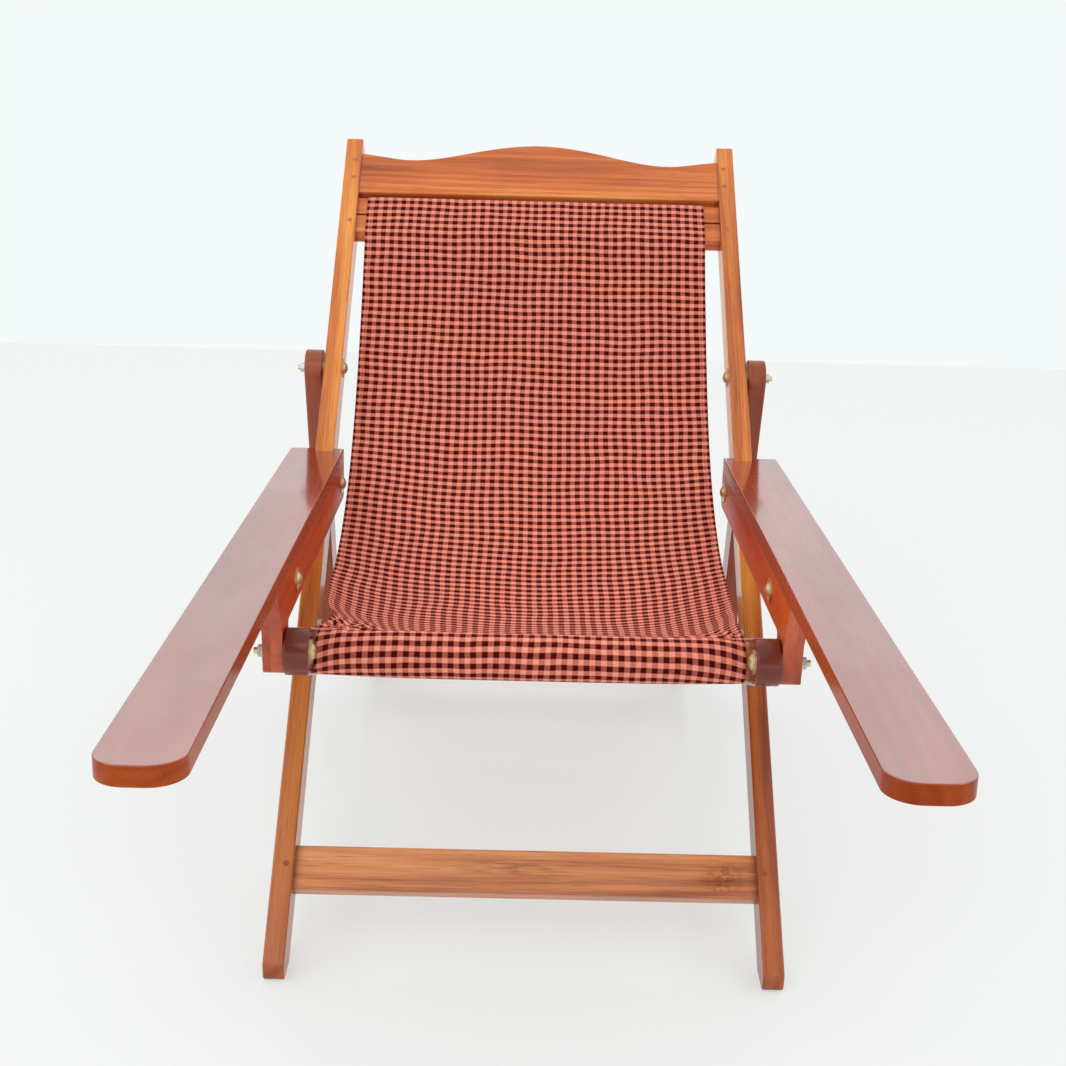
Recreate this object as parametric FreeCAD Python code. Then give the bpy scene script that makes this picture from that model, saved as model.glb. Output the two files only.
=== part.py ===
"""Wooden reclining easy chair with long flat arms and a cloth sling.

Millimetres, +Z up, the sitter faces -Y. The two long back rails run in one straight
line from the top of the back down to the front feet. The seat rails run from the front
of the seat down to the rear feet, inside the back rails. A prop hinged high on the back
rails drops its rod into notches in the seat rails, and that sets the recline.
"""
import FreeCAD, Part
import math
import os

V = FreeCAD.Vector

# Back rails and the members between them
frame_width = 672.0
rail_thickness = 28.0
rail_depth = 50.0
rail_length = 1446.0
rail_slope = 40.0
toe_height = 26.0
toe_radius = 9.0
top_radius = 7.0
crest_drop = 5.0
crest_crown = 117.0
crest_dip = 77.0
crest_ear = 89.0
crest_thickness = 22.0
crest_inset = 4.0
crest_gap = 10.0
cloth_rail_inset = 8.0
cloth_rail_thickness = 27.0
cloth_rail_gap = 3.0
upper_cloth_rail_height = 35.0
lower_cloth_rail_height = 38.0
front_stretcher_at = 135.0
front_stretcher_height = 60.0
front_stretcher_thickness = 25.0

# Arms
arm_width = 82.0
arm_length = 1192.0
arm_thickness = 20.0
arm_rise = 3.6
arm_tail = 32.5
arm_tip_radius = 32.0
arm_pivot_at = 748.0
arm_pivot_below = 26.9
board_thickness = 14.0
board_depth = 55.0
board_corner_radius = 16.0
nose_ahead = 20.0
nose_behind = 34.0
nose_below = 22.0
nose_face_height = 51.0
nose_flare = 24.0
nose_corner_radius = 7.0
cheek_thickness = 10.0
cheek_length = 200.0
cheek_bolt_from_rear = 519.5
cheek_bolt_below = 28.2

# Seat frame
seat_pivot_from_rear = 624.1
seat_pivot_below = 84.8
seat_rail_thickness = 30.0
seat_rail_depth = 57.0
seat_rail_slope = 23.4
seat_sole_length = 46.0
seat_bar_radius = 25.0
seat_bar_offset = 46.0
rear_stretcher_at = 1040.0
rear_stretcher_height = 46.0
rear_stretcher_thickness = 22.0
notch_at = 968.0
notch_pitch = 45.0
notch_count = 3
notch_depth = 8.0

# Prop
prop_pivot_at = 966.0
prop_thickness = 28.0
prop_depth = 58.0
prop_rod_radius = 11.0
prop_spacer = 3.0
prop_stretcher_above_rod = 62.0
prop_stretcher_height = 60.0
prop_stretcher_thickness = 22.0

# Cloth
sling_top_margin = 22.0
sling_front_margin = 3.5
sling_narrow_run = 230.0
sling_sag = 226.0
sling_steps = 6
sling_thickness = 2.4
sling_gap = 0.3
sling_flap = 30.0

# Bolts and joinery
bolt_radius = 4.0
bolt_clearance = 0.05
dome_radius = 10.5
dome_height = 5.5
washer_radius = 15.0
washer_thickness = 1.6
washer_clearance = 0.2
nut_across_flats = 13.0
nut_height = 6.5
bolt_end = 5.0
tenon_thickness = 12.0
tenon_shoulder = 9.0
tenon_length = 20.0
bar_tenon_radius = 12.0
peg_radius = 4.0
peg_depth = 40.0
edge_radius = 2.5
arm_edge_radius = 2.0
side_gap = 0.5
turn_gap = 0.1
rod_gap = 0.3

# Places worked out from the sizes above
rail_outer = frame_width / 2
rail_inner = rail_outer - rail_thickness
half_depth = rail_depth / 2
board_outer = rail_inner
arm_inner = board_outer - board_thickness
cheek_outer = board_outer + cheek_thickness
seat_outer = arm_inner - side_gap
seat_inner = seat_outer - seat_rail_thickness
prop_inner = rail_outer + prop_spacer + turn_gap
prop_outer = prop_inner + prop_thickness
crest_bottom = rail_length - crest_drop - crest_crown
upper_rail_top = crest_bottom - crest_gap
lower_rail_top = upper_rail_top - upper_cloth_rail_height - cloth_rail_gap
lower_rail_bottom = lower_rail_top - lower_cloth_rail_height
crest_front = -crest_inset
crest_back = crest_front - crest_thickness
cloth_rail_front = -cloth_rail_inset
cloth_rail_back = cloth_rail_front - cloth_rail_thickness

RAIL = ((0.0, toe_height), rail_slope)


def locate(frame, along, across):
    """World (y, z) of a point given along and across a sloping member."""
    (y, z), slope = frame
    c = math.cos(math.radians(slope))
    s = math.sin(math.radians(slope))
    return (y + along * c - across * s, z + along * s + across * c)


def under_arm(along, below):
    """World (y, z) of a point forward along the arm from its rear and below its underside."""
    return locate(ARM, along, arm_thickness + below)


prop_pivot = locate(RAIL, prop_pivot_at, -half_depth)
arm_pivot = locate(RAIL, arm_pivot_at, -half_depth)
arm_turn = 180.0 - arm_rise
arm_offset = locate(((0.0, 0.0), arm_turn), arm_tail, arm_thickness + arm_pivot_below)
arm_rear = (arm_pivot[0] - arm_offset[0], arm_pivot[1] - arm_offset[1])
ARM = (arm_rear, arm_turn)
cheek_bolt = under_arm(cheek_bolt_from_rear, cheek_bolt_below)
seat_pivot = under_arm(seat_pivot_from_rear, seat_pivot_below)
SEAT = (seat_pivot, -seat_rail_slope)
rod_across = seat_rail_depth / 2 - notch_depth + prop_rod_radius
rod_centre = locate(SEAT, notch_at, rod_across)
prop_length = math.hypot(rod_centre[0] - prop_pivot[0], rod_centre[1] - prop_pivot[1])
prop_slope = math.degrees(math.atan2(rod_centre[1] - prop_pivot[1], rod_centre[0] - prop_pivot[0]))
PROP = (prop_pivot, prop_slope)

arm_cos = math.cos(math.radians(arm_rise))
front_end = locate(ARM, arm_length, arm_thickness)[0]
back_end = locate(RAIL, rail_length - top_radius, top_radius - rail_depth)[0] + top_radius
centre_y = (front_end + back_end) / 2


def set_on(shape, frame):
    """Turn a shape drawn flat, with Y along the member and Z across it, into its place."""
    (y, z), slope = frame
    shape.rotate(V(0, 0, 0), V(1, 0, 0), slope)
    shape.translate(V(0, y, z))
    return shape


def outline(points):
    """Closed wire in the YZ plane; each point is (y, z) or (y, z, corner radius)."""
    corners = [V(0, p[0], p[1]) for p in points]
    radii = [p[2] if len(p) > 2 else 0.0 for p in points]
    count = len(corners)
    ends = []
    for i, corner in enumerate(corners):
        before = (corners[i - 1] - corner).normalize()
        after = (corners[(i + 1) % count] - corner).normalize()
        if radii[i] == 0.0:
            ends.append((corner, None, corner))
            continue
        half = before.getAngle(after) / 2
        reach = radii[i] / math.tan(half)
        middle = (before + after).normalize()
        centre = corner + middle * (radii[i] / math.sin(half))
        ends.append((corner + before * reach, centre - middle * radii[i], corner + after * reach))
    edges = []
    for i, (start, middle, end) in enumerate(ends):
        if middle is not None:
            edges.append(Part.Arc(start, middle, end).toShape())
        edges.append(Part.LineSegment(end, ends[(i + 1) % count][0]).toShape())
    return Part.Wire(edges)


def board(points, low, high):
    """Flat board: a YZ outline given its thickness along X."""
    solid = Part.Face(outline(points)).extrude(V(high - low, 0, 0))
    solid.translate(V(low, 0, 0))
    return solid


def ease(solid, radius):
    """Round the edges of the two broad faces of a board that stands across X."""
    box = solid.BoundBox
    rims = [e for e in solid.Edges
            if e.BoundBox.XLength < 0.001 and min(abs(e.BoundBox.XMin - box.XMin),
                                                  abs(e.BoundBox.XMax - box.XMax)) < 0.001]
    return solid.makeFillet(radius, rims)


def block(size_x, y_low, y_high, z_low, z_high):
    """Box centred on X."""
    return Part.makeBox(size_x, y_high - y_low, z_high - z_low, V(-size_x / 2, y_low, z_low))


def rod(y, z, radius, low, high):
    """Round bar along X."""
    return Part.makeCylinder(radius, high - low, V(low, y, z), V(1, 0, 0))


def mirrored(solid):
    return solid.mirror(V(0, 0, 0), V(1, 0, 0))


def eased_member(length, y_low, y_high, z_low, z_high):
    """Cross member with its long edges rounded."""
    solid = block(length, y_low, y_high, z_low, z_high)
    long_edges = [e for e in solid.Edges if e.BoundBox.XLength > 0.9 * length]
    return solid.makeFillet(edge_radius, long_edges)


def tenons(face, y_low, y_high, z_low, z_high):
    """The two flat tenons on the ends of a cross member, thin the way the member is thin."""
    y_cut = tenon_shoulder
    z_cut = (z_high - z_low - tenon_thickness) / 2
    if z_high - z_low > y_high - y_low:
        y_cut = (y_high - y_low - tenon_thickness) / 2
        z_cut = tenon_shoulder
    return block(2 * (face + tenon_length), y_low + y_cut, y_high - y_cut, z_low + z_cut, z_high - z_cut)


def cross_member(face, y_low, y_high, z_low, z_high, frame):
    """Cross member between two rails, with the tenons that their mortises take."""
    tenon = tenons(face, y_low, y_high, z_low, z_high)
    body = eased_member(2 * face, y_low, y_high, z_low, z_high)
    return set_on(body.fuse(tenon).removeSplitter(), frame), set_on(tenon, frame)


def bolt_hole(place, low, high):
    return rod(place[0], place[1], bolt_radius + bolt_clearance, low, high)


# Cross members of the back frame
front_stretcher, front_stretcher_tenon = cross_member(
    rail_inner, front_stretcher_at - front_stretcher_height / 2,
    front_stretcher_at + front_stretcher_height / 2,
    -half_depth - front_stretcher_thickness / 2, -half_depth + front_stretcher_thickness / 2, RAIL)
upper_cloth_rail, upper_cloth_rail_tenon = cross_member(
    rail_inner, upper_rail_top - upper_cloth_rail_height, upper_rail_top,
    cloth_rail_back, cloth_rail_front, RAIL)
lower_cloth_rail, lower_cloth_rail_tenon = cross_member(
    rail_inner, lower_rail_bottom, lower_rail_top,
    cloth_rail_back, cloth_rail_front, RAIL)


def crest_board():
    """Top board of the back: a low crown, a dip near each end and a raised ear at the rail."""
    dip_x = rail_inner * 0.76
    shoulder_x = (rail_inner + dip_x) / 2
    crown_y = crest_bottom + crest_crown
    dip_y = crest_bottom + crest_dip
    ear_y = crest_bottom + crest_ear
    top = Part.BSplineCurve()
    top.interpolate([V(-rail_inner, ear_y, 0), V(-shoulder_x, (ear_y + dip_y) / 2, 0), V(-dip_x, dip_y, 0),
                     V(-dip_x / 2, (crown_y + dip_y) / 2, 0), V(0, crown_y, 0),
                     V(dip_x / 2, (crown_y + dip_y) / 2, 0), V(dip_x, dip_y, 0),
                     V(shoulder_x, (ear_y + dip_y) / 2, 0), V(rail_inner, ear_y, 0)])
    corners = [V(rail_inner, ear_y, 0), V(rail_inner, crest_bottom, 0),
               V(-rail_inner, crest_bottom, 0), V(-rail_inner, ear_y, 0)]
    sides = [Part.LineSegment(corners[i], corners[i + 1]).toShape() for i in range(3)]
    face = Part.Face(Part.Wire([top.toShape()] + sides))
    solid = face.extrude(V(0, 0, crest_thickness))
    solid.translate(V(0, 0, crest_back))
    rims = [e for e in solid.Edges if e.BoundBox.XLength > rail_inner]
    solid = solid.makeFillet(edge_radius, rims)
    tenon = tenons(rail_inner, crest_bottom, crest_bottom + crest_ear, crest_back, crest_front)
    return set_on(solid.fuse(tenon).removeSplitter(), RAIL), set_on(tenon, RAIL)


crest_rail, crest_tenon = crest_board()


def pegs(x):
    """Wooden pegs driven square through the front of a back rail into the tenons."""
    along = (front_stretcher_at, (lower_rail_top + lower_rail_bottom) / 2,
             crest_bottom + crest_ear / 3, crest_bottom + crest_ear * 0.78)
    return [set_on(Part.makeCylinder(peg_radius, peg_depth, V(x, y, -peg_depth)), RAIL) for y in along]


peg_x = rail_inner + tenon_length / 2
joint_pegs = Part.makeCompound(pegs(peg_x) + pegs(-peg_x))
back_tenons = [front_stretcher_tenon, upper_cloth_rail_tenon, lower_cloth_rail_tenon, crest_tenon]


def drilled(member):
    return member.cut(joint_pegs)


front_stretcher = drilled(front_stretcher)
upper_cloth_rail = drilled(upper_cloth_rail)
lower_cloth_rail = drilled(lower_cloth_rail)
crest_rail = drilled(crest_rail)


def back_rail_outline():
    front_top = locate(RAIL, rail_length, 0.0)
    back_top = locate(RAIL, rail_length, -rail_depth)
    back_low = locate(RAIL, 0.0, -rail_depth)
    heel = back_low[0] - back_low[1] / math.tan(math.radians(rail_slope))
    return [(0.0, 0.0, toe_radius), (0.0, toe_height, toe_radius), (*front_top, top_radius),
            (*back_top, top_radius), (heel, 0.0)]


plain_rail = board(back_rail_outline(), rail_inner, rail_outer)
back_rail_right = ease(plain_rail, edge_radius)
for tool in back_tenons + [joint_pegs, bolt_hole(prop_pivot, rail_inner - 1, rail_outer + 1),
                           bolt_hole(arm_pivot, rail_inner - 1, rail_outer + 1)]:
    back_rail_right = back_rail_right.cut(tool)


def arm_slab():
    """Long flat arm, round at the tip and notched around the back rail."""
    tip = V(0, arm_length, 0)
    low = arm_inner
    high = arm_inner + arm_width
    r = arm_tip_radius
    bow = r * (1 - math.sqrt(0.5))
    p = [V(low, 0, 0), V(low, tip.y - r, 0), V(low + r, tip.y, 0), V(high - r, tip.y, 0),
         V(high, tip.y - r, 0), V(high, 0, 0)]
    edges = [Part.LineSegment(p[0], p[1]).toShape(),
             Part.Arc(p[1], V(low + bow, tip.y - bow, 0), p[2]).toShape(),
             Part.LineSegment(p[2], p[3]).toShape(),
             Part.Arc(p[3], V(high - bow, tip.y - bow, 0), p[4]).toShape(),
             Part.LineSegment(p[4], p[5]).toShape(),
             Part.LineSegment(p[5], p[0]).toShape()]
    solid = Part.Face(Part.Wire(edges)).extrude(V(0, 0, arm_thickness))
    rims = [e for e in solid.Edges if e.BoundBox.ZMax < 0.001 and e.BoundBox.YMax > 1]
    solid = solid.makeFillet(arm_edge_radius, rims)
    return set_on(solid, ARM).cut(plain_rail)


def board_outline(rear_along):
    """Board under the arm, with a nose that drops to the seat pivot and flares forward to the arm."""
    nose_front = seat_pivot[0] - nose_ahead
    nose_back = seat_pivot[0] + nose_behind
    nose_bottom = seat_pivot[1] - nose_below
    nose_top = nose_bottom + nose_face_height
    flare_end = nose_front - nose_flare
    rear_low = under_arm(rear_along, board_depth)
    inner_corner = under_arm((arm_rear[0] - nose_back) / arm_cos, board_depth)
    return [under_arm(rear_along, 0.0), (*rear_low, board_corner_radius),
            (*inner_corner, nose_corner_radius), (nose_back, nose_bottom, nose_corner_radius),
            (nose_front, nose_bottom, nose_corner_radius), (nose_front, nose_top),
            under_arm((arm_rear[0] - flare_end) / arm_cos, 0.0)]


arm_right = arm_slab()
cheek_rear = seat_pivot_from_rear + nose_ahead - cheek_length
arm_board_right = board(board_outline(0.0), arm_inner, board_outer)
arm_cheek_right = board(board_outline(cheek_rear), board_outer, cheek_outer)
for place in (arm_pivot, cheek_bolt, seat_pivot):
    hole = bolt_hole(place, arm_inner - 1, cheek_outer + 1)
    arm_board_right = arm_board_right.cut(hole)
    arm_cheek_right = arm_cheek_right.cut(hole)


def seat_rail():
    """Seat rail: round at the pivot, a flat sole at the rear and notches for the prop."""
    r = seat_rail_depth / 2
    run = seat_pivot[1] / math.sin(math.radians(seat_rail_slope))
    sole_front = locate(SEAT, run - r / math.tan(math.radians(seat_rail_slope)), -r)
    rear_y = sole_front[0] + seat_sole_length
    rise = r / math.cos(math.radians(seat_rail_slope))
    rear_top = seat_pivot[1] + rise - (rear_y - seat_pivot[0]) * math.tan(math.radians(seat_rail_slope))
    top = V(0, *locate(SEAT, 0.0, r))
    tip = V(0, *locate(SEAT, -r, 0.0))
    low = V(0, *locate(SEAT, 0.0, -r))
    corners = [low, V(0, sole_front[0], 0.0), V(0, rear_y, 0.0), V(0, rear_y, rear_top), top]
    edges = [Part.LineSegment(corners[i], corners[i + 1]).toShape() for i in range(4)]
    edges.append(Part.Arc(top, tip, low).toShape())
    solid = Part.Face(Part.Wire(edges)).extrude(V(seat_rail_thickness, 0, 0))
    solid.translate(V(seat_inner, 0, 0))
    solid = ease(solid, edge_radius)
    for i in range(notch_count):
        solid = solid.cut(notch(notch_at + (i - notch_count // 2) * notch_pitch))
    return solid


def notch(along):
    """Notch that lets the prop's rod leave the way it swings, up and to the rear."""
    centre = locate(SEAT, along, rod_across)
    radius = prop_rod_radius + rod_gap
    seat = rod(centre[0], centre[1], radius, seat_inner - 1, seat_outer + 1)
    way = Part.makeBox(seat_rail_thickness + 2, 2 * radius, 3 * radius, V(seat_inner - 1, -radius, 0))
    return seat.fuse(set_on(way, (centre, prop_slope)))


rear_stretcher, rear_stretcher_tenon = cross_member(
    seat_inner, rear_stretcher_at - rear_stretcher_thickness / 2,
    rear_stretcher_at + rear_stretcher_thickness / 2,
    -rear_stretcher_height / 2, rear_stretcher_height / 2, SEAT)


def seat_bar():
    """Round bar that the cloth goes over, with a round tenon in each seat rail."""
    y, z = locate(SEAT, seat_bar_offset, 0.0)
    bar = rod(y, z, seat_bar_radius, -seat_inner, seat_inner)
    reach = seat_inner + tenon_length
    tenon = rod(y, z, bar_tenon_radius, -reach, reach)
    return bar.fuse(tenon), tenon


seat_front_bar, seat_bar_tenon = seat_bar()
seat_rail_right = seat_rail()
for tool in (rear_stretcher_tenon, seat_bar_tenon,
             bolt_hole(seat_pivot, seat_inner - 1, seat_outer + 1)):
    seat_rail_right = seat_rail_right.cut(tool)


def prop_leg():
    """Prop leg, round at the pivot and at the rod."""
    r = prop_depth / 2
    place = [V(prop_inner, 0, -r), V(prop_inner, prop_length, -r), V(prop_inner, prop_length + r, 0),
             V(prop_inner, prop_length, r), V(prop_inner, 0, r), V(prop_inner, -r, 0)]
    edges = [Part.LineSegment(place[0], place[1]).toShape(), Part.Arc(place[1], place[2], place[3]).toShape(),
             Part.LineSegment(place[3], place[4]).toShape(), Part.Arc(place[4], place[5], place[0]).toShape()]
    solid = Part.Face(Part.Wire(edges)).extrude(V(prop_thickness, 0, 0))
    return set_on(ease(solid, edge_radius), PROP)


prop_stretcher_at = prop_length - prop_stretcher_above_rod
prop_stretcher, prop_stretcher_tenon = cross_member(
    prop_inner, prop_stretcher_at - prop_stretcher_height / 2,
    prop_stretcher_at + prop_stretcher_height / 2,
    -prop_stretcher_thickness / 2, prop_stretcher_thickness / 2, PROP)
prop_rod = rod(rod_centre[0], rod_centre[1], prop_rod_radius, -prop_outer, prop_outer)
prop_leg_right = prop_leg()
for tool in (prop_stretcher_tenon, prop_rod, bolt_hole(prop_pivot, prop_inner - 1, prop_outer + 1)):
    prop_leg_right = prop_leg_right.cut(tool)


def sling():
    """Cloth lapped over the upper cloth rail, down through the seat and once round the front bar."""
    half = sling_thickness / 2
    near = cloth_rail_front + sling_gap
    far = cloth_rail_back - sling_gap
    leave = locate(RAIL, lower_rail_bottom, near + half)
    bar = locate(SEAT, seat_bar_offset, 0.0)
    wrap = seat_bar_radius + sling_gap + half
    heading = math.atan2(bar[1] - leave[1] + 4 * sling_sag, bar[0] - leave[0])
    touch = (bar[0] + wrap * math.sin(heading), bar[1] - wrap * math.cos(heading))
    middle = []
    for i in range(sling_steps + 1):
        f = i / sling_steps
        drop = 4 * sling_sag * f * (1 - f)
        middle.append(V(0, leave[0] + f * (touch[0] - leave[0]), leave[1] + f * (touch[1] - leave[1]) - drop))
    run = Part.BSplineCurve()
    run.interpolate(middle)
    sides = ([], [])
    for point in middle:
        way = V(*run.tangent(run.parameter(point))[0]).normalize()
        across = V(0, way.z, -way.y) * half
        sides[0].append(point - across)
        sides[1].append(point + across)
    edges = [Part.LineSegment(sides[0][i], sides[1][i]).toShape() for i in (0, -1)]
    for side in sides:
        curve = Part.BSplineCurve()
        curve.interpolate(side)
        edges.append(curve.toShape())
    reach = rail_inner - sling_top_margin
    hung = Part.Face(Part.Wire(Part.__sortEdges__(edges))).extrude(V(2 * reach, 0, 0))
    hung.translate(V(-reach, 0, 0))
    hem = upper_rail_top + sling_gap
    lip = hem + sling_thickness
    laps = [block(2 * reach, lower_rail_bottom, lip, near, near + sling_thickness),
            block(2 * reach, hem, lip, far - sling_thickness, near + sling_thickness),
            block(2 * reach, upper_rail_top - sling_flap, lip, far - sling_thickness, far)]
    roll = rod(bar[0], bar[1], wrap + half, -reach, reach)
    core = rod(bar[0], bar[1], wrap - half, -reach, reach)
    cloth = hung.fuse([set_on(lap, RAIL) for lap in laps] + [roll]).cut(core)
    front = bar[0] - 2 * wrap
    rear = locate(RAIL, lip, far - sling_thickness)[0]
    half_front = seat_inner - sling_front_margin
    widens = bar[0] + sling_narrow_run
    right = [V(half_front, front, 0), V(half_front, widens, 0), V(reach, leave[0], 0), V(reach, rear + half, 0)]
    left = [V(-p.x, p.y, 0) for p in reversed(right)]
    plan = Part.makePolygon(right + left + right[:1])
    return cloth.common(Part.Face(plan).extrude(V(0, 0, rail_length))).removeSplitter()


def dome_bolt(place, seat, end):
    """Dome-headed bolt along X, its head against seat and its thread ending at end."""
    sphere_radius = (dome_radius ** 2 + dome_height ** 2) / (2 * dome_height)
    low = V(seat, dome_radius, 0)
    top = V(seat - dome_height, 0, 0)
    half = math.asin(dome_radius / sphere_radius) / 2
    centre_x = seat - dome_height + sphere_radius
    middle = V(centre_x - sphere_radius * math.cos(half), sphere_radius * math.sin(half), 0)
    profile = Part.Wire([Part.Arc(top, middle, low).toShape(), Part.LineSegment(low, V(seat, 0, 0)).toShape(),
                         Part.LineSegment(V(seat, 0, 0), top).toShape()])
    head = Part.Face(profile).revolve(V(0, 0, 0), V(1, 0, 0), 360)
    head.translate(V(0, place[0], place[1]))
    return head.fuse(rod(place[0], place[1], bolt_radius, seat, end)).removeSplitter()


def washer(place, low, thickness):
    ring = rod(place[0], place[1], washer_radius, low, low + thickness)
    return ring.cut(rod(place[0], place[1], bolt_radius + washer_clearance, low - 1, low + thickness + 1))


def nut(place, low):
    corner = nut_across_flats / 2 / math.cos(math.radians(30))
    hexagon = [V(low, place[0] + corner * math.cos(math.radians(60 * i)),
                 place[1] + corner * math.sin(math.radians(60 * i))) for i in range(6)]
    solid = Part.Face(Part.makePolygon(hexagon + hexagon[:1])).extrude(V(nut_height, 0, 0))
    return solid.cut(rod(place[0], place[1], bolt_radius, low - 1, low + nut_height + 1))


def both_sides(solids):
    return Part.makeCompound(solids + [mirrored(s) for s in solids])


def bolt_set(name, place, inner, outer, spacers=()):
    """Bolt, washers and nut that clamp everything between the faces inner and outer."""
    seat = inner - washer_thickness
    nut_low = outer + washer_thickness
    washers = [washer(place, seat, washer_thickness), washer(place, outer, washer_thickness)]
    washers += [washer(place, low, thickness) for low, thickness in spacers]
    return {name + "_bolts": both_sides([dome_bolt(place, seat, nut_low + nut_height + bolt_end)]),
            name + "_washers": both_sides(washers),
            name + "_nuts": both_sides([nut(place, nut_low)])}


nodes = {
    "crest_rail": crest_rail,
    "upper_cloth_rail": upper_cloth_rail,
    "lower_cloth_rail": lower_cloth_rail,
    "front_stretcher": front_stretcher,
    "joint_pegs": joint_pegs,
    "seat_front_bar": seat_front_bar,
    "rear_stretcher": rear_stretcher,
    "prop_stretcher": prop_stretcher,
    "prop_rod": prop_rod,
    "sling": sling(),
}
for name, solid in (("back_rail", back_rail_right), ("arm", arm_right), ("arm_board", arm_board_right),
                    ("arm_cheek", arm_cheek_right), ("seat_rail", seat_rail_right),
                    ("prop_leg", prop_leg_right)):
    nodes[name + "_right"] = solid
    nodes[name + "_left"] = mirrored(solid)

nodes.update(bolt_set("prop_pivot", prop_pivot, rail_inner, prop_outer + turn_gap,
                      [(rail_outer, prop_spacer)]))
nodes.update(bolt_set("arm_pivot", arm_pivot, arm_inner, rail_outer))
nodes.update(bolt_set("cheek", cheek_bolt, arm_inner, cheek_outer))
nodes.update(bolt_set("seat_pivot", seat_pivot, seat_inner - turn_gap, cheek_outer))

os.makedirs("parts", exist_ok=True)
for name, shape in nodes.items():
    shape.translate(V(0, -centre_y, 0))
    shape.exportStep("parts/" + name + ".step")

for name, place in (("prop pivot", prop_pivot), ("arm pivot", arm_pivot),
                    ("seat pivot", seat_pivot), ("rod", rod_centre)):
    print(name, round(place[0] - centre_y, 3), round(place[1], 3))
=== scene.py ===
"""Looks of a wooden reclining easy chair with a gingham sling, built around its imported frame."""
import math

import bpy
import numpy as np
from mathutils import Matrix, Vector


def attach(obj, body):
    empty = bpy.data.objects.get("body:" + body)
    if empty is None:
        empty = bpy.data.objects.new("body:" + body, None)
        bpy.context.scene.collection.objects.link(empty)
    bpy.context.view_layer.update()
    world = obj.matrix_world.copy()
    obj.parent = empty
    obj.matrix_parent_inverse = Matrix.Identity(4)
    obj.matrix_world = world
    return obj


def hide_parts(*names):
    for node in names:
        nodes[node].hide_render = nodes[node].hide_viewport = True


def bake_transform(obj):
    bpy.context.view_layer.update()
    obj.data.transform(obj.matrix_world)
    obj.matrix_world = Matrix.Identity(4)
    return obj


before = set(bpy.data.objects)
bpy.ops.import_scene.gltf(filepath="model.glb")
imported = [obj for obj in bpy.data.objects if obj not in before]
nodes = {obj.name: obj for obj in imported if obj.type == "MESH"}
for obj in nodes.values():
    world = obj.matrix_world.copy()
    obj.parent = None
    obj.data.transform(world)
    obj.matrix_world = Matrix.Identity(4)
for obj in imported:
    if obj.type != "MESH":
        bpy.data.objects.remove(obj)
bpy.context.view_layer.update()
scene = bpy.context.scene
scene.view_settings.view_transform = "Standard"

# Slopes of the members, in degrees from +Y towards +Z
RAIL_SLOPE = 40.0
SEAT_SLOPE = -23.4
PROP_SLOPE = -74.8
ARM_SLOPE = -3.6


class NodeTree:
    """Small helper that adds and links the nodes of one tree."""

    def __init__(self, tree):
        self.tree = tree

    def join(self, socket, value):
        if isinstance(value, bpy.types.NodeSocket):
            self.tree.links.new(value, socket)
        else:
            socket.default_value = value

    def node(self, kind, inputs=None, **settings):
        made = self.tree.nodes.new(kind)
        for key, value in settings.items():
            setattr(made, key, value)
        for key, value in (inputs or {}).items():
            self.join(made.inputs[key], value)
        return made

    def math(self, operation, a, b=0.0):
        return self.node("ShaderNodeMath", {0: a, 1: b}, operation=operation).outputs[0]

    def vector(self, operation, a, b):
        made = self.node("ShaderNodeVectorMath", {0: a, 1: b}, operation=operation)
        return made.outputs["Value" if operation == "DISTANCE" else "Vector"]

    def mix(self, factor, a, b, blend="MIX"):
        made = self.node("ShaderNodeMix", data_type="RGBA", blend_type=blend)
        for key, value in ((0, factor), (6, a), (7, b)):
            self.join(made.inputs[key], value)
        return made.outputs[2]

    def ramp(self, value, stops):
        made = self.node("ShaderNodeValToRGB", {0: value})
        ends = made.color_ramp.elements
        while len(ends) < len(stops):
            ends.new(0.5)
        for end, (place, colour) in zip(ends, stops):
            end.position = place
            end.color = colour
        return made.outputs[0]

    def span(self, value, low, high, to_low, to_high):
        return self.node("ShaderNodeMapRange", {0: value, 1: low, 2: high, 3: to_low, 4: to_high}).outputs[0]

    def noise(self, vector, scale, detail=2.0, roughness=0.5):
        return self.node("ShaderNodeTexNoise", {"Vector": vector, "Scale": scale, "Detail": detail,
                                                "Roughness": roughness}).outputs[0]

    def swing(self, value, amount):
        """A noise value of about 0.5 turned into one that swings about 0."""
        return self.math("MULTIPLY", self.math("SUBTRACT", value, 0.5), amount)

    def seen(self):
        """1 for what the eye sees, straight or by reflection or through something clear; 0 for spread light."""
        rays = self.node("ShaderNodeLightPath").outputs
        mirrored = self.math("MAXIMUM", rays["Is Glossy Ray"], rays["Is Transmission Ray"])
        return self.math("MAXIMUM", rays["Is Camera Ray"], mirrored)


class Shader(NodeTree):
    """The nodes of one new material, round its principled shader."""

    def __init__(self, name):
        self.material = bpy.data.materials.new(name)
        self.material.use_nodes = True
        super().__init__(self.material.node_tree)
        self.bsdf = self.tree.nodes["Principled BSDF"]

    def set(self, **values):
        for key, value in values.items():
            self.join(self.bsdf.inputs[key.replace("_", " ")], value)

    def bump(self, height, strength, distance):
        made = self.node("ShaderNodeBump", {"Height": height, "Strength": strength, "Distance": distance})
        self.join(self.bsdf.inputs["Normal"], made.outputs[0])


def rgb(*screen):
    """Linear colour from screen values of 0 to 255."""
    def linear(c):
        return c / 12.92 if c <= 0.04045 else ((c + 0.055) / 1.055) ** 2.4

    return tuple(linear(c / 255) for c in screen) + (1.0,)


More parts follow.
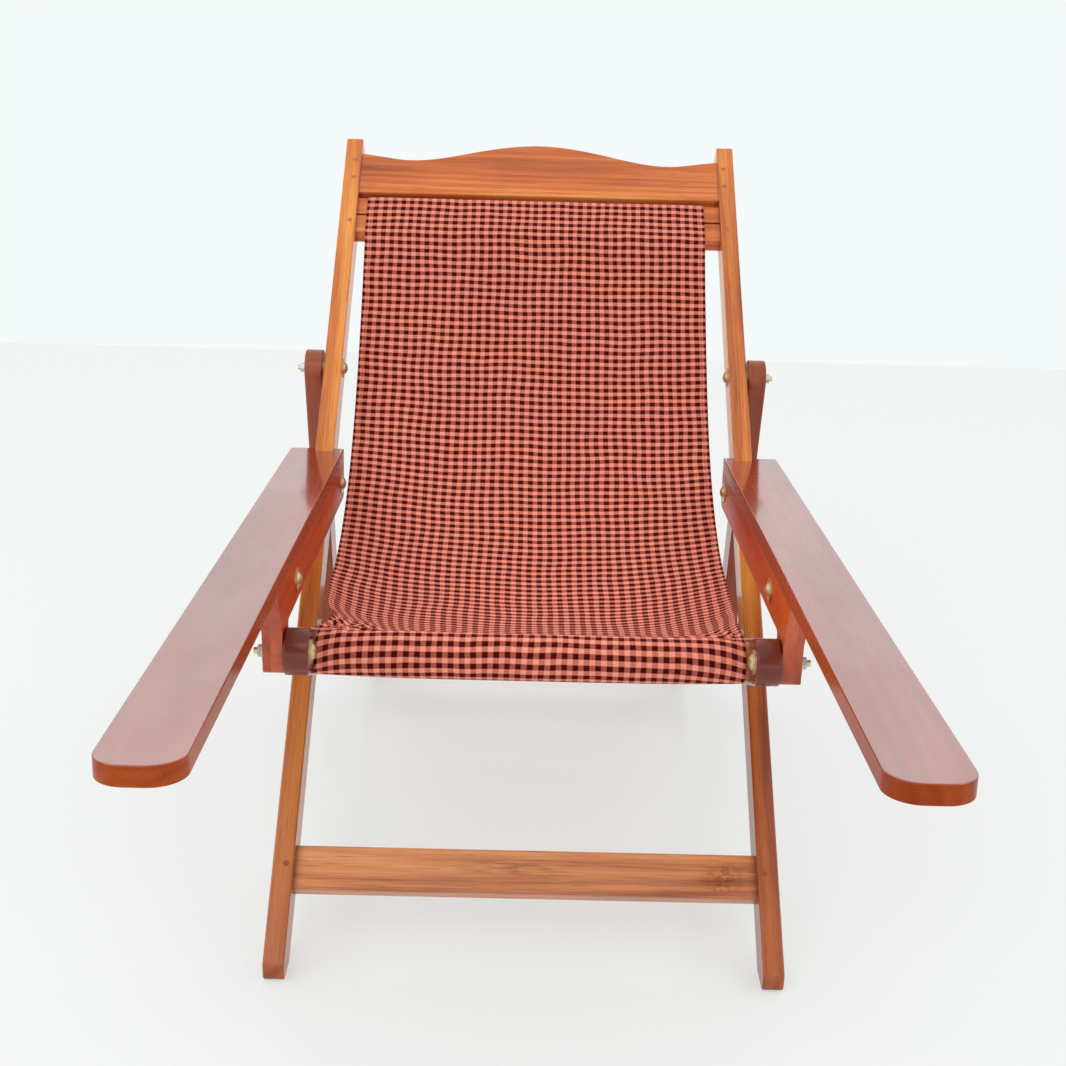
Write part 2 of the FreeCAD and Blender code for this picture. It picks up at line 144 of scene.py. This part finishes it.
# Dark, middle and light tones of each wood, chosen so that the render comes near the photograph
RAIL_WOOD = (rgb(156, 66, 14), rgb(218, 120, 36), rgb(246, 160, 66))
CROSS_WOOD = (rgb(146, 56, 14), rgb(212, 106, 36), rgb(244, 152, 70))
STRETCHER_WOOD = (rgb(140, 66, 28), rgb(222, 142, 88), rgb(248, 188, 130))
ARM_WOOD = (rgb(92, 30, 10), rgb(150, 58, 16), rgb(190, 88, 32))
BOARD_WOOD = (rgb(128, 36, 8), rgb(182, 66, 16), rgb(210, 94, 30))
SEAT_WOOD = (rgb(80, 26, 12), rgb(112, 40, 20), rgb(140, 58, 32))
PROP_WOOD = (rgb(112, 44, 18), rgb(150, 68, 32), rgb(174, 90, 48))
PEG_WOOD = (rgb(164, 76, 22), rgb(196, 104, 36), rgb(214, 124, 50))

# Multipliers of the wood's colour: painted shade towards the feet, in place of the shade under the arms and the
# cloth, with the heights in metres where it is full and gone; and a stain on the arm tops
FOOT_PAINTED_SHADE = (0.58, 0.45, 0.48, 1.0)
FOOT_SHADE_FULL, FOOT_SHADE_NONE = 0.1, 0.62
TOP_STAIN = (0.95, 0.6, 0.6, 1.0)

# Grain: scale of each pattern, and how far it is shrunk along the member so that it draws out
BROAD_SCALE, BROAD_ALONG = 16.0, 0.12
BAND_SCALE, BAND_ALONG = 17.0, 0.05
FIBRE_SCALE, FIBRE_ALONG = 520.0, 0.02
PORE_SCALE, PORE_ALONG = 640.0, 0.035
CLOUD_SCALE, CLOUD_ALONG = 14.0, 0.4
BURL_SCALE, BURL_ACROSS = 110.0, 1.5
BROAD_SHARE, BAND_SHARE, FIBRE_SHARE = 1.1, 0.16, 0.5
# Reach in metres of the painted shade in crevices and at joints, then the facing range of faces along an axis
CREVICE_SHADE_REACH = 0.012
FACE_OFF, FACE_ON = 0.4, 0.9


def wood(name, tones, slope, offset, along_x=False, figure=1.0, pore=0.38, rough=0.34, mirror=0.4, relief=0.12,
         coat=0.35, shine=1.5, shade=None, knots=(), gloss=None, low_angle=None):
    """Varnished teak: soft growth bands, fine fibre and short pores, all along the member.

    figure scales the contrast of the tones and pore the depth of the pores; rough, mirror and relief are the wood's
    own surface; coat and shine are the weight and the index of the varnish. shade is painted shade, a colour that
    darkens the wood towards the feet in place of the shade under the arms and the cloth. Each knot is (spot, size,
    stretch along X). gloss is (axis, weight off it, weight on it) and sets the varnish by the way a face looks;
    low_angle is the share of it left square on, for a stained top with a cloudy varnish.
    """
    s = Shader(name)
    place = s.node("ShaderNodeTexCoord").outputs["Object"]
    turn = (0, 0, math.radians(90)) if along_x else (math.radians(-slope), 0, 0)
    grain = s.node("ShaderNodeMapping", {"Vector": place, "Rotation": turn, "Location": offset}).outputs[0]

    def drawn(along):
        return s.vector("MULTIPLY", grain, (1.0, along, 1.0))

    broad = s.noise(drawn(BROAD_ALONG), BROAD_SCALE)
    bands = s.node("ShaderNodeTexWave", {"Vector": drawn(BAND_ALONG), "Scale": BAND_SCALE, "Distortion": 11.0,
                                         "Detail": 2.5, "Detail Scale": 0.9, "Detail Roughness": 0.55},
                   wave_type="RINGS", rings_direction="Y").outputs[1]
    fibre = s.noise(drawn(FIBRE_ALONG), FIBRE_SCALE, 3.0, 0.6)
    pores = s.noise(drawn(PORE_ALONG), PORE_SCALE, 1.0)
    tone = s.math("ADD", s.swing(broad, BROAD_SHARE * figure), s.swing(bands, BAND_SHARE * figure))
    tone = s.math("ADD", s.math("ADD", tone, s.swing(fibre, FIBRE_SHARE * figure)), 0.5)
    dark, mid, light = tones
    deep = tuple(c * 0.5 for c in dark[:3]) + (1.0,)
    colour = s.ramp(tone, [(0.08, dark), (0.5, mid), (0.92, light)])
    colour = s.mix(s.span(pores, 0.6, 0.74, 0.0, pore), colour, deep)
    # Painted shade: the colour is multiplied darker towards the feet, by height
    if shade:
        height = s.node("ShaderNodeSeparateXYZ", {0: place}).outputs[2]
        colour = s.mix(s.span(height, FOOT_SHADE_FULL, FOOT_SHADE_NONE, 1.0, 0.0), colour, shade, "MULTIPLY")
    for spot, size, stretch in knots:
        scale = (1.0 / stretch, BURL_ACROSS, BURL_ACROSS)
        local = s.vector("MULTIPLY", place, scale)
        away = s.vector("DISTANCE", local, tuple(p * k for p, k in zip(spot, scale)))
        burl = s.span(s.noise(local, BURL_SCALE, 3.0, 0.6), 0.4, 0.62, 0.0, 0.85)
        reach = s.span(away, 0.15 * size, size, 1.0, 0.0)
        colour = s.mix(s.math("MULTIPLY", reach, burl), colour, deep)
    # Painted shade: the colour darkens towards the deep tone where ambient occlusion finds other parts near, in
    # crevices and at joints
    crevice_shade = s.node("ShaderNodeAmbientOcclusion", {"Distance": CREVICE_SHADE_REACH}, samples=6).outputs["AO"]
    colour = s.mix(s.span(crevice_shade, 0.35, 0.85, 0.65, 0.0), colour, deep)
    if gloss:
        axis, off_axis, on_axis = gloss
        normal = s.node("ShaderNodeSeparateXYZ", {0: s.node("ShaderNodeTexCoord").outputs["Normal"]})
        facing = s.math("ABSOLUTE", normal.outputs[axis])
        coat = s.span(facing, FACE_OFF, FACE_ON, off_axis, on_axis)
        if low_angle:
            edge_on = s.node("ShaderNodeLayerWeight", {"Blend": 0.5}).outputs["Facing"]
            coat = s.math("MULTIPLY", coat, s.span(edge_on, 0.15, 0.45, low_angle, 1.0))
            cloud = s.noise(drawn(CLOUD_ALONG), CLOUD_SCALE, 3.0)
            coat = s.math("MULTIPLY", coat, s.span(cloud, 0.35, 0.65, 0.86, 1.0))
            colour = s.mix(s.span(facing, FACE_OFF, FACE_ON, 0.0, 1.0), colour, TOP_STAIN, "MULTIPLY")
    s.set(Base_Color=colour, Roughness=s.span(fibre, 0.3, 0.7, rough - 0.05, rough + 0.08),
          Specular_IOR_Level=mirror, Coat_Weight=coat, Coat_Roughness=0.1, Coat_IOR=shine)
    s.bump(s.math("ADD", fibre, s.math("MULTIPLY", pores, 0.5)), relief, 0.0003)
    return s.material


def metal(name, colour, dull, rough):
    """Plated hardware with light tarnish and fine turning marks."""
    s = Shader(name)
    place = s.node("ShaderNodeTexCoord").outputs["Object"]
    spots = s.noise(place, 260.0, 3.0, 0.6)
    fine = s.noise(place, 1800.0)
    s.set(Base_Color=s.mix(s.span(spots, 0.4, 0.7, 0.0, 0.5), colour, dull), Metallic=1.0,
          Roughness=s.span(spots, 0.3, 0.7, rough - 0.04, rough + 0.1))
    s.bump(fine, 0.05, 0.0002)
    return s.material


# Gingham, in checks: width of the dark stripes, their soft edge, and how far the yarns wander and fray
WARP_STRIPE, WEFT_STRIPE = 0.52, 0.53
STRIPE_EDGE = 0.025
WANDER, WANDER_SCALE = 0.6, 11.0
FRAY, FRAY_SCALE = 0.14, 900.0
WARP_THREADS, WEFT_THREADS = 20, 18
# Side seam, in checks: distance from the edge and half width; and the stitches to a check
SEAM_IN, SEAM_HALF = 0.55, 0.035
STITCHES = 4
LIGHT_YARN = (rgb(255, 152, 120), rgb(255, 178, 158))
WARP_YARN = rgb(216, 116, 98)
WEFT_YARN = rgb(182, 86, 72)
CROSSED_YARN = rgb(70, 8, 2)
WEAVE_SHADE = (0.05, 0.012, 0.012, 1.0)
SEAM_THREAD = rgb(70, 22, 22)


def gingham(name, columns, rows):
    """Yarn-dyed check: dark and light stripes cross, and each thread shows in the weave."""
    s = Shader(name)
    uv = s.node("ShaderNodeUVMap").outputs[0]
    part = s.node("ShaderNodeSeparateXYZ", {0: uv})
    place = s.node("ShaderNodeTexCoord").outputs["Object"]
    fray = s.swing(s.noise(uv, FRAY_SCALE, 1.0), FRAY)

    def stray(straight, where):
        return s.math("ADD", straight, s.swing(s.noise(where, WANDER_SCALE, 3.0), WANDER))

    def stripe(value, width):
        wave = s.math("ADD", s.math("PINGPONG", value, 0.5), fray)
        return s.span(wave, width / 2 - STRIPE_EDGE, width / 2 + STRIPE_EDGE, 1.0, 0.0)

    def ripple(value, count):
        return s.math("SINE", s.math("MULTIPLY", value, 2 * math.pi * count))

    straight_u = s.math("MULTIPLY", part.outputs[0], columns)
    u = stray(straight_u, place)
    v = stray(s.math("MULTIPLY", part.outputs[1], rows), s.vector("ADD", place, (3.1, 1.7, 0.4)))
    warp = stripe(u, WARP_STRIPE)
    light = s.mix(s.noise(place, 60.0), *LIGHT_YARN)
    across = s.mix(warp, light, WARP_YARN)
    crossed = s.mix(warp, WEFT_YARN, CROSSED_YARN)
    colour = s.mix(stripe(v, WEFT_STRIPE), across, crossed)
    weave = s.math("MULTIPLY", ripple(u, WARP_THREADS), ripple(v, WEFT_THREADS))
    colour = s.mix(s.span(weave, -1.0, 1.0, 0.0, 0.2), colour, WEAVE_SHADE, "MULTIPLY")
    seam = s.math("COMPARE", s.math("PINGPONG", straight_u, columns / 2), SEAM_IN)
    seam.node.inputs[2].default_value = SEAM_HALF
    dash = s.math("GREATER_THAN", ripple(v, STITCHES), -0.2)
    colour = s.mix(s.math("MULTIPLY", s.math("MULTIPLY", seam, dash), 0.7), colour, SEAM_THREAD)
    s.set(Base_Color=colour, Roughness=s.span(weave, -1.0, 1.0, 0.78, 0.95), Specular_IOR_Level=0.1)
    s.bump(weave, 0.35, 0.0003)
    return s.material


def paint(name, material):
    slots = nodes[name].data.materials
    slots.clear()
    slots.append(material)


# Members that come in pairs: node, material, tones, slope, place in the grain and finish
# The back rails carry painted shade towards the feet
RAIL_FINISH = dict(figure=1.5, coat=0.45, shade=FOOT_PAINTED_SHADE)
SEAT_FINISH = dict(figure=0.5, pore=0.1, rough=0.25, mirror=0.25, coat=0.4)
PROP_FINISH = dict(figure=0.6, rough=0.28, mirror=0.25)
ARM_FINISH = dict(figure=0.65, pore=0.15, rough=0.24, mirror=0.08, relief=0.02, shine=4.0, gloss=(2, 0.04, 1.0),
                  low_angle=0.2)
BOARD_FINISH = dict(figure=0.9, pore=0.25, rough=0.3, mirror=0.03, shine=1.6, gloss=(0, 0.9, 0.03))
PAIRS = (
    ("back_rail_", "rail_teak_", RAIL_WOOD, RAIL_SLOPE, (0.11, 0.3, 0.09), RAIL_FINISH),
    ("seat_rail_", "seat_teak_", SEAT_WOOD, SEAT_SLOPE, (0.2, 0.1, 0.12), SEAT_FINISH),
    ("prop_leg_", "prop_teak_", PROP_WOOD, PROP_SLOPE, (0.33, 0.5, 0.1), PROP_FINISH),
    ("arm_", "arm_teak_", ARM_WOOD, ARM_SLOPE, (0.27, 0.2, 0.07), ARM_FINISH),
    ("arm_board_", "board_teak_", BOARD_WOOD, ARM_SLOPE, (0.5, 0.6, 0.1), BOARD_FINISH),
    ("arm_cheek_", "cheek_teak_", BOARD_WOOD, ARM_SLOPE, (0.63, 0.8, 0.13), BOARD_FINISH),
)
for side, shift in (("left", 0.0), ("right", 1.7)):
    for node, material, tones, slope, (x, y, z), finish in PAIRS:
        paint(node + side, wood(material + side, tones, slope, (x + shift, y, z), **finish))

CROSS_MEMBERS = ("crest_rail", "upper_cloth_rail", "lower_cloth_rail", "prop_stretcher", "rear_stretcher",
                 "seat_front_bar", "prop_rod")
for i, name in enumerate(CROSS_MEMBERS):
    paint(name, wood(name + "_teak", CROSS_WOOD, 0.0, (0.4 * i, 0.13 * i, 0.1), along_x=True, figure=1.2))
STRETCHER_KNOTS = (((0.264, -0.181, 0.106), 0.042, 0.8), ((-0.016, -0.1745, 0.1115), 0.024, 4.0))
paint("front_stretcher", wood("front_stretcher_teak", STRETCHER_WOOD, 0.0, (0.9, 0.45, 0.08), along_x=True,
                              figure=1.15, knots=STRETCHER_KNOTS))
# The pegs carry the same painted shade towards the feet
paint("joint_pegs", wood("peg_teak", PEG_WOOD, RAIL_SLOPE, (0.7, 0.4, 0.2), shade=FOOT_PAINTED_SHADE))

brass = metal("aged_brass", rgb(224, 204, 158), rgb(170, 142, 92), 0.36)
steel = metal("zinc_steel", rgb(196, 196, 192), rgb(132, 130, 126), 0.34)
for group in ("prop_pivot", "arm_pivot", "cheek", "seat_pivot"):
    paint(group + "_bolts", brass)
    paint(group + "_washers", brass)
    paint(group + "_nuts", steel)

# Sling: profile in millimetres from the front toe, then moved to the chair's own origin
ORIGIN_Y = 285.263
TOE_HEIGHT = 26.0
# Cloth rails: their faces across the back rails, and the upper rail's top and the lower rail's end along them
RAIL_FRONT = -8.0
RAIL_BACK = -35.0
HEM_TOP = 1314.0
LEAVE = 1238.0
FLAP = 30.0
# Front bar: centre, radius to the cloth's middle, how far the cloth turns round it and its slack below
BAR = (37.22, 448.75)
BAR_WRAP = 26.3
WRAP_TURN = 318.0
ROLL_SLACK = 3.5
SKIN = 0.9
THICKNESS = 1.4
# Hanging run: sag in the middle, share of it lost at the side edges, and the edges' rise just behind the bar
SAG = 226.0
SAG_SKEW = 0.1
EDGE_LOSS = 0.25
EDGE_RISE = 15.0
EDGE_RISE_AT = 0.12
# Half widths from the lower cloth rail to the bar, and the cloth's shift to the left at each of the two
TOP_HALF = 286.0
FRONT_HALF = 260.0
HALF_PLACES = (0, 0.35, 0.65, 0.85, 1.0)
HALF_WIDTHS = (TOP_HALF, 282.0, 280.0, 272.0, FRONT_HALF)
TOP_SHIFT = 5.0
BAR_SHIFT = 2.5
# Gathers at the left and right corner: depth, phase and inward pull of the edge
GATHER_DEPTH = (3.0, 1.9)
GATHER_PHASE = (0.7, 2.1)
EDGE_TUCK = (20.0, 4.0)
GATHER_REACH = 105.0
PULL_DEPTH = 1.3
WAVE_DEPTH = 0.9
FREE_AFTER = 60.0
# Checks across, millimetres to a check along, and rows of the mesh in each part of the profile
COLUMNS = 38
CHECK = 14.0
STEPS_PER_CHECK = 5
FLAP_ROWS, LAP_ROWS, FRONT_ROWS, HANG_ROWS, ROLL_ROWS = 7, 6, 16, 240, 64


def locate(along, across):
    """Point at a length along the back rail's front face and a height across it."""
    c = math.cos(math.radians(RAIL_SLOPE))
    s = math.sin(math.radians(RAIL_SLOPE))
    return np.array((along * c - across * s, TOE_HEIGHT + along * s + across * c))


def lengths(points):
    """Length along a line of points, from its start to each point."""
    return np.concatenate(([0.0], np.cumsum(np.linalg.norm(np.diff(points, axis=0), axis=1))))


def resample(points, count):
    steps = lengths(points)
    wanted = np.linspace(0, steps[-1], count)
    return np.column_stack([np.interp(wanted, steps, points[:, i]) for i in range(2)])


def hang(q):
    """Hanging run at q of the half width, from the lower cloth rail to where it meets the bar."""
    top = locate(LEAVE, RAIL_FRONT + SKIN)
    contact = np.array((BAR[0], BAR[1] + BAR_WRAP))
    f = np.linspace(1.0, 0.0, 400)
    loss = EDGE_LOSS * (1 - f) ** 1.7 * abs(q) ** 2.4
    rise = EDGE_RISE * abs(q) ** 9 * f / EDGE_RISE_AT * np.exp(1 - f / EDGE_RISE_AT)
    drop = 4 * SAG * f * (1 - f) * (1 + SAG_SKEW * (f - 0.5)) * (1 - loss) - rise
    # The run and the point where it touches the bar depend on each other, and settle in a few rounds
    for _ in range(6):
        run = contact + f[:, None] * (top - contact)
        run = np.column_stack((run[:, 0], run[:, 1] - drop))
        heading = run[-1] - run[-4]
        angle = math.atan2(heading[1], heading[0]) - math.pi / 2
        contact = np.array((BAR[0] + BAR_WRAP * math.cos(angle), BAR[1] + BAR_WRAP * math.sin(angle)))
    return run, angle


def profile(q):
    """One column of the sling: flap, lap over the rail, front of the rails, hanging run, roll."""
    flap = np.array([locate(HEM_TOP - FLAP, RAIL_BACK - SKIN), locate(HEM_TOP, RAIL_BACK - SKIN)])
    lap = np.array([locate(HEM_TOP + SKIN, RAIL_BACK), locate(HEM_TOP + SKIN, RAIL_FRONT)])
    front = np.array([locate(HEM_TOP, RAIL_FRONT + SKIN), locate(LEAVE, RAIL_FRONT + SKIN)])
    run, angle = hang(q)
    turn = np.linspace(angle, angle + math.radians(WRAP_TURN), ROLL_ROWS + 1)[1:]
    slack = ROLL_SLACK * (1 - abs(q) ** 4)
    reach = BAR_WRAP + slack * np.clip(-np.sin(turn), 0, None) ** 1.5
    roll = np.column_stack((BAR[0] + reach * np.cos(turn), BAR[1] + reach * np.sin(turn)))
    return np.vstack((resample(flap, FLAP_ROWS), resample(lap, LAP_ROWS), resample(front, FRONT_ROWS),
                      resample(run, HANG_ROWS + 1)[1:], roll))


def folds(q, out):
    """Height of the folds: q across the half width, out the cloth length from the bar's contact."""
    depth = np.where(q < 0, *GATHER_DEPTH)
    phase = np.where(q < 0, *GATHER_PHASE)
    edge = (1 - np.abs(q)) * FRONT_HALF
    past = np.clip(out, 0, None)
    # Pleats that fan out from the bar's ends
    reach = np.hypot(edge, past)
    fan = np.arctan2(past + 4.0, edge + 4.0)
    on_roll = np.exp(-np.clip(-out, 0, None) / 18.0)
    spread = np.exp(-(reach / GATHER_REACH) ** 2) * np.clip(reach / 30.0, 0, 1) * on_roll
    pleat = np.sin(19.0 * fan + reach / 40.0 + phase) + 0.5 * np.sin(31.0 * fan - reach / 25.0 + 2 * phase)
    # Small ripples where the side edges are pulled
    near = np.exp(-(edge / 95.0) ** 2) * np.exp(-((out - 150.0) / 140.0) ** 2)
    pull = np.sin(edge / 12.0 + out / 34.0 + 1.3 * phase)
    # Long slack waves in the hanging run
    slack = np.clip(out / 300.0, 0, 1) * np.clip((1050.0 - out) / 300.0, 0, 1)
    wave = (np.sin(q * 5.1 + out / 95.0) + 0.7 * np.sin(q * 9.7 - out / 140.0 + 1.1)
            + 0.5 * np.sin(out / 52.0 + q * 3.0))
    return depth * spread * pleat + PULL_DEPTH * near * pull + WAVE_DEPTH * slack * wave


def tuck(q, out):
    """Inward pull of the cloth's edge just behind the bar, stronger at the left corner."""
    edge = (1 - np.abs(q)) * FRONT_HALF
    near = np.exp(-((out - 95.0) / 65.0) ** 2) * np.exp(-(edge / 90.0) ** 2)
    return -np.sign(q) * np.where(q < 0, *EDGE_TUCK) * near


def build_sling():
    """The sling's mesh as a grid of columns across and rows along, and its length in metres."""
    across = np.linspace(-1, 1, COLUMNS * STEPS_PER_CHECK + 1)
    grid = np.array([profile(q) for q in across])
    length = lengths(grid[len(across) // 2])
    leave = FLAP_ROWS + LAP_ROWS + FRONT_ROWS
    contact = leave + HANG_ROWS - 1
    out = length[contact] - length
    heading = np.gradient(grid, axis=1)
    normal = np.stack((heading[:, :, 1], -heading[:, :, 0]), axis=-1)
    normal = normal / np.linalg.norm(normal, axis=2, keepdims=True)
    free = np.clip((length - length[leave]) / FREE_AFTER, 0, 1)
    rise = folds(across[:, None], out[None, :]) * free[None, :]
    # On the roll the folds only stand out, so that the cloth stays clear of the bar
    rolled = np.arange(len(length)) > contact
    rise = np.where(rolled[None, :], np.abs(rise) * 0.8, rise)
    grid = grid + normal * rise[:, :, None]
    y = grid[:, :, 0]
    z = grid[:, :, 1]
    top_y = locate(LEAVE, RAIL_FRONT)[0]
    near = np.clip((top_y - y) / (top_y - BAR[0]), 0, 1)
    half = np.interp(near, HALF_PLACES, HALF_WIDTHS)
    shift = TOP_SHIFT + (BAR_SHIFT - TOP_SHIFT) * near
    x = across[:, None] * half - shift + tuck(across[:, None], out[None, :])
    verts = np.stack((x, y - ORIGIN_Y, z), axis=-1) / 1000
    rows = grid.shape[1]
    mesh = bpy.data.meshes.new("gingham_sling")
    faces = [(i * rows + j, (i + 1) * rows + j, (i + 1) * rows + j + 1, i * rows + j + 1)
             for i in range(len(across) - 1) for j in range(rows - 1)]
    mesh.from_pydata(verts.reshape(-1, 3).tolist(), [], faces)
    layer = mesh.uv_layers.new(name="UVMap")
    for loop in mesh.loops:
        i, j = divmod(loop.vertex_index, rows)
        layer.data[loop.index].uv = ((across[i] + 1) / 2, length[j] / length[-1])
    mesh.polygons.foreach_set("use_smooth", [True] * len(mesh.polygons))
    made = bpy.data.objects.new("gingham_sling", mesh)
    scene.collection.objects.link(made)
    skin = made.modifiers.new("thickness", "SOLIDIFY")
    skin.thickness = THICKNESS / 1000
    skin.offset = 0.0
    return made, length[-1] / 1000


sling, sling_length = build_sling()
sling.data.materials.append(gingham("gingham_cotton", COLUMNS, sling_length * 1000 / CHECK))
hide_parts("sling")
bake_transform(sling)
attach(sling, "back_frame")

# Floor: half size in metres, colour, roughness, and the share of even paleness in what the eye sees of it
FLOOR_HALF = 3.3
FLOOR_COLOUR = (0.87, 0.89, 0.875, 1)
FLOOR_ROUGH = 0.2
FLOOR_EVEN = 0.6
# World: colour and strength of the light from the front and from the back, and the white that the eye sees
SKY_COLOUR = (0.96, 0.985, 1.0, 1)
SKY_FRONT, SKY_BACK = 0.5, 1.3
PLAIN_WHITE = (0.91, 0.955, 0.955, 1)
# Softboxes: place and aim in metres, size and power in watts
SOFTBOXES = {
    "key": ((-1.9, -2.0, 2.6), (0, 0, 0.4), (3.2, 2.6), 38),
    "fill": ((2.2, -1.8, 2.6), (0, 0, 0.4), (2.4, 2.0), 18),
    "front": ((0.0, -3.4, 0.8), (0, 0, 0.2), (3.0, 1.4), 5),
}
# Camera fitted to the photograph: place in metres, angles in degrees, lens and sensor in millimetres
CAMERA_PLACE = (-0.0181, -2.0358, 1.2367)
CAMERA_YAW, CAMERA_DIP, CAMERA_ROLL = -0.483, 19.367, 1.543
CAMERA_LENS, CAMERA_SENSOR = 53.99, 36.0


def pale_floor():
    """Pale floor; a share of plain paleness in what the eye and reflections see evens out its shade."""
    s = Shader("pale_floor")
    s.set(Base_Color=FLOOR_COLOUR, Roughness=FLOOR_ROUGH, Specular_IOR_Level=0.3)
    even = s.node("ShaderNodeEmission", {"Color": FLOOR_COLOUR, "Strength": 1.0}).outputs[0]
    share = s.math("MULTIPLY", s.seen(), FLOOR_EVEN)
    both = s.node("ShaderNodeMixShader", {0: share, 1: s.bsdf.outputs[0], 2: even})
    s.join(s.tree.nodes["Material Output"].inputs["Surface"], both.outputs[0])
    return s.material


def build_floor():
    mesh = bpy.data.meshes.new("floor")
    corners = [(x * FLOOR_HALF, y * FLOOR_HALF, 0) for x, y in ((-1, -1), (1, -1), (1, 1), (-1, 1))]
    mesh.from_pydata(corners, [], [(0, 1, 2, 3)])
    mesh.materials.append(pale_floor())
    made = bpy.data.objects.new("floor", mesh)
    scene.collection.objects.link(made)


def build_world():
    """Light comes most from the back, as in a porch; the eye and reflections see one plain white."""
    world = bpy.data.worlds.new("studio")
    scene.world = world
    world.use_nodes = True
    w = NodeTree(world.node_tree)
    ray = w.node("ShaderNodeSeparateXYZ", {0: w.node("ShaderNodeTexCoord").outputs["Generated"]})
    light = w.tree.nodes["Background"]
    w.join(light.inputs["Color"], SKY_COLOUR)
    w.join(light.inputs["Strength"], w.span(ray.outputs[1], -0.7, 0.3, SKY_FRONT, SKY_BACK))
    white = w.node("ShaderNodeBackground", {"Color": PLAIN_WHITE, "Strength": 1.0})
    both = w.node("ShaderNodeMixShader", {0: w.seen(), 1: light.outputs[0], 2: white.outputs[0]})
    w.join(w.tree.nodes["World Output"].inputs["Surface"], both.outputs[0])


def build_softbox(name, place, aim, size, power):
    lamp = bpy.data.lights.new(name, "AREA")
    lamp.shape = "RECTANGLE"
    lamp.size, lamp.size_y = size
    lamp.energy = power
    made = bpy.data.objects.new(name, lamp)
    made.location = place
    made.rotation_euler = (Vector(aim) - Vector(place)).to_track_quat("-Z", "Y").to_euler()
    scene.collection.objects.link(made)


def build_camera():
    camera = bpy.data.cameras.new("camera")
    camera.sensor_width = CAMERA_SENSOR
    camera.lens = CAMERA_LENS
    view = bpy.data.objects.new("camera", camera)
    yaw = Matrix.Rotation(math.radians(CAMERA_YAW), 4, "Z")
    pitch = Matrix.Rotation(math.radians(90 - CAMERA_DIP), 4, "X")
    roll = Matrix.Rotation(math.radians(CAMERA_ROLL), 4, "Z")
    view.matrix_world = Matrix.Translation(CAMERA_PLACE) @ yaw @ pitch @ roll
    scene.collection.objects.link(view)
    scene.camera = view


build_floor()
build_world()
for name, settings in SOFTBOXES.items():
    build_softbox(name, *settings)
build_camera()
